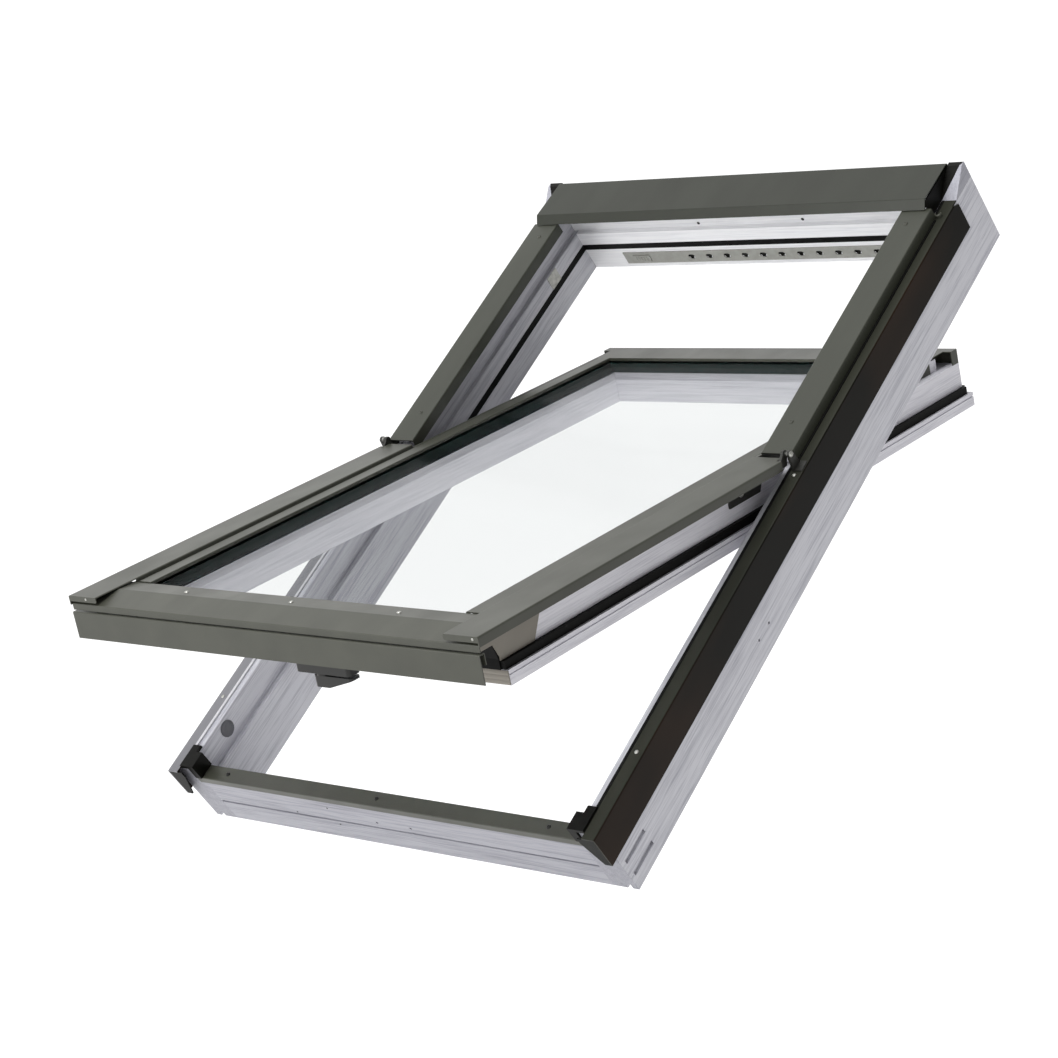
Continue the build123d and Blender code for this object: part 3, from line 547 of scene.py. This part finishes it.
# Covers, profiles, pivots, clips, hinge bolts and bolt sockets of both sides
lip = rounded(3.2 * mm, 1.8 * mm)
for side_name, sign in (("left", -1), ("right", 1)):
    outwards = ACROSS * sign
    screws(
        f"{side_name}_cover_screw", "frame", COVER_SCREWS, ACROSS, OUT, 3.2 * mm, cover_metal, sign
    )
    screws(f"{side_name}_strip_screw", "frame", STRIP_SCREWS, ACROSS, OUT, 3 * mm, zinc, sign)
    low, high = (spot("frame", place, sign) for place in COVER_LIP)
    run(f"{side_name}_cover_lip", low, high, ACROSS, OUT, lip, seal_rubber, "frame")
    pin_heads = ((PIN_OUTER_FACE, outwards), (PIN_INNER_FACE, -outwards))
    for number, (face, away) in enumerate(pin_heads, 1):
        place = on_frame(sign * face * mm, PIVOT_V, PIVOT_W)
        pan_screw(f"{side_name}_pin_head_{number}", place, UP, away, 4.4 * mm, zinc, "frame")
    hook(
        f"{side_name}_hood_clip", spot("frame", HOOD_CLIP, sign), ACROSS, UP, OUT,
        radius=4.5 * mm, wire=1.3 * mm, sweep=(180, 380), material=cover_metal, body="frame",
    )
    screws(f"{side_name}_hinge_bolt", "sash", HINGE_BOLTS, SASH_UP, outwards, 5 * mm, zinc, sign)
    place = spot("frame", SOCKET_CAP, sign)
    button(f"{side_name}_socket_cap", place, UP, -outwards, 11 * mm, disc_plastic, "frame")

# Screws, pins and rivets of the head, the sill and the bottom cover. The bright rivets at the cover
# ends stand where highlights fall on the covers' rounded corners: painted highlights
screws("head_screw", "frame", HEAD_SCREWS, ACROSS, -UP, 2.6 * mm, pivot_metal)
screws("sill_cover_screw", "frame", SILL_COVER_SCREWS, ACROSS, OUT, 3.4 * mm, handle_metal)
screws("sill_pin", "frame", SILL_PINS, ACROSS, -UP, 1.3 * mm, pivot_metal)
screws("bottom_cover_screw", "sash", BOTTOM_COVER_SCREWS, ACROSS, SASH_OUT, 3.2 * mm, zinc)
screws("cover_end_highlight_rivet", "sash", COVER_END_HIGHLIGHT_RIVETS, ACROSS, -SASH_UP, 1.8 * mm, zinc)

# Dark shapes in the holes of the air inlet, painted shade, and the ribs of its slider
for number, at in enumerate(VENT_HOLE_SHADES, 1):
    place = spot("frame", at)
    vent_hole_shade(f"vent_hole_shade_{number}", place, ACROSS, OUT, -UP, 5.4 * mm, black_plastic, "frame")
rib = rounded(1.6 * mm, 1 * mm)
for number, ends in enumerate(SLIDER_RIBS, 1):
    low, high = (spot("frame", place) for place in ends)
    run(f"slider_rib_{number}", low, high, ACROSS, -UP, rib, grey_plastic, "frame")

# Ribbed strip over the front of the bottom rail's lip: 1.2 + 0.7 |sin 3 pi t| mm deep, t down it
fall = np.linspace(0, 1, 37)
depth = 1.2 + 0.7 * np.abs(np.sin(3 * np.pi * fall))
front = np.stack([-RAIL_STRIP_HEIGHT * fall, depth], axis=-1) * mm
back = np.array([[-RAIL_STRIP_HEIGHT, 0.05], [0, 0.05]]) * mm
low, high = (spot("sash", place) for place in RAIL_STRIP)
ribbed = np.concatenate([front, back])
run("rail_front_strip", low, high, SASH_OUT, -SASH_UP, ribbed, plate_metal, "sash")

# Camera: place in metres, dip below level and turn in degrees, lens and sensor in mm
CAMERA_PLACE = (2.3779, -2.4825, 0.6691)
CAMERA_DIP, CAMERA_TURN = 4.16, 41.29
LENS, SENSOR = 87.92, 36
camera_data = bpy.data.cameras.new("camera")
camera_data.lens = LENS
camera_data.sensor_width = SENSOR
camera = bpy.data.objects.new("camera", camera_data)
camera.location = CAMERA_PLACE
camera.rotation_euler = (math.radians(90 - CAMERA_DIP), 0, math.radians(CAMERA_TURN))
bpy.context.collection.objects.link(camera)
bpy.context.scene.camera = camera

# Pale floor that glows, so that it stays even and white up to the horizon
FLOOR_SIZE, FLOOR_HEIGHT = 400, -0.35
bpy.ops.mesh.primitive_plane_add(size=FLOOR_SIZE, location=(0, 0, FLOOR_HEIGHT))
floor = bpy.context.object
floor.name = "floor"
floor_mat, floor_tree = new_material("pale_floor")
surface(floor_tree, {
    "Base Color": colour("#9A9A9A"),
    "Roughness": 0.9,
    "Emission Color": colour("#FFFFFF"),
    "Emission Strength": 0.85,
})
floor.data.materials.append(floor_mat)

# Sky whose strength falls from left to right, so that the right-hand faces lie in soft shade
world = bpy.data.worlds.new("studio")
bpy.context.scene.world = world
world.use_nodes = True
sky_tree = world.node_tree
sky = sky_tree.nodes["Background"]
sky.inputs["Color"].default_value = colour("#FFFFFF")
sky_place = add(sky_tree, "ShaderNodeTexCoord")
sky_split = add(sky_tree, "ShaderNodeSeparateXYZ", links={"Vector": sky_place.outputs["Generated"]})
sky_level = add(
    sky_tree, "ShaderNodeMapRange",
    {"From Min": -0.2, "From Max": 0.6, "To Min": 1.15, "To Max": 0.25},
    {"Value": sky_split.outputs["X"]},
)
sky_tree.links.new(sky_level.outputs["Result"], sky.inputs["Strength"])
bpy.context.scene.view_settings.view_transform = "Standard"


def lamp(name, place, target, size, power):
    """Square area light at a place, turned to face the target."""
    data = bpy.data.lights.new(name, "AREA")
    data.size = size
    data.energy = power
    obj = bpy.data.objects.new(name, data)
    obj.location = place
    obj.rotation_euler = (Vector(target) - Vector(place)).to_track_quat("-Z", "Y").to_euler()
    bpy.context.collection.objects.link(obj)


lamp("key", place=(0.1, -2.1, 4.0), target=(0, 0.2, 0.4), size=2.2, power=150)
lamp("front", place=(-1.2, -3.6, 0.6), target=(0, 0.2, 0.6), size=2.0, power=60)
